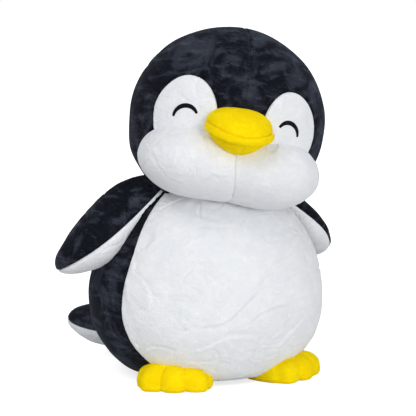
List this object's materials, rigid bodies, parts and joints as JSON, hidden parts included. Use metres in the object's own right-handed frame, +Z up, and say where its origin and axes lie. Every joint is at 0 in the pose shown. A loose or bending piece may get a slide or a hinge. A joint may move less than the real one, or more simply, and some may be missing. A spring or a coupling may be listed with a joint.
{
  "type": "plush penguin",
  "caption": "Stuffed standing plush penguin with a turning and nodding head, hinged flippers, a bending tail, puffed cheeks, a two-part beak and toed feet.",
  "frame": {"origin": "centre of the flat base, on the floor", "axes": "+Z up, -Y the way the belly faces, +X the penguin's own left"},
  "size_m": [0.3992, 0.3996, 0.4442],
  "materials": {
    "black_plush": "matte",
    "white_plush": "matte",
    "yellow_plush": "matte",
    "black_thread": "satin",
    "stuffing": "matte"
  },
  "bodies": {
    "torso": {"belly_panel": "white_plush", "body_back_left": "black_plush", "body_back_right": "black_plush", "base_panel": "black_plush", "body_filling": "stuffing", "foot_left_top": "yellow_plush", "foot_left_sole": "yellow_plush", "foot_left_filling": "stuffing", "foot_right_top": "yellow_plush", "foot_right_sole": "yellow_plush", "foot_right_filling": "stuffing"},
    "neck": {"neck_filling": "stuffing"},
    "head": {"head_filling": "stuffing", "head_left": "black_plush", "eye_patch_left": "white_plush", "eye_left": "black_thread", "cheek_left": "white_plush", "cheek_filling_left": "stuffing", "head_right": "black_plush", "eye_patch_right": "white_plush", "eye_right": "black_thread", "cheek_right": "white_plush", "cheek_filling_right": "stuffing", "beak_upper": "yellow_plush", "beak_lower": "yellow_plush", "beak_lip": "yellow_plush", "beak_filling": "stuffing"},
    "flipper_left": {"flipper_left_outer": "black_plush", "flipper_left_inner": "white_plush", "flipper_left_filling": "stuffing"},
    "flipper_right": {"flipper_right_outer": "black_plush", "flipper_right_inner": "white_plush", "flipper_right_filling": "stuffing"},
    "tail": {"tail_top": "black_plush", "tail_under": "white_plush", "tail_filling": "stuffing"}
  },
  "joints": [
    {"name": "neck_turn", "type": "hinge", "parent": "torso", "child": "neck", "pos_m": [0, 0, 0.25], "axis": [0, 0, 1], "range_deg": [-12, 14], "stiffness_Nm_per_rad": 1.2},
    {"name": "head_nod", "type": "hinge", "parent": "neck", "child": "head", "pos_m": [0.005, -0.011, 0.183], "axis": [0.9426, -0.3338, 0], "range_deg": [-4, 4], "stiffness_Nm_per_rad": 14},
    {"name": "flipper_left_lift", "type": "hinge", "parent": "torso", "child": "flipper_left", "pos_m": [0.1015, 0, 0.234], "axis": [0.4384, -0.8988, 0], "range_deg": [0, 32], "stiffness_Nm_per_rad": 0.5},
    {"name": "flipper_right_lift", "type": "hinge", "parent": "torso", "child": "flipper_right", "pos_m": [-0.1015, 0, 0.234], "axis": [0.4384, 0.8988, 0], "range_deg": [0, 32], "stiffness_Nm_per_rad": 0.5},
    {"name": "tail_lift", "type": "hinge", "parent": "torso", "child": "tail", "pos_m": [-0.0548, 0.11235, 0.0365], "axis": [0.8988, 0.4384, 0], "range_deg": [-4, 5.5], "stiffness_Nm_per_rad": 0.6}
  ]
}
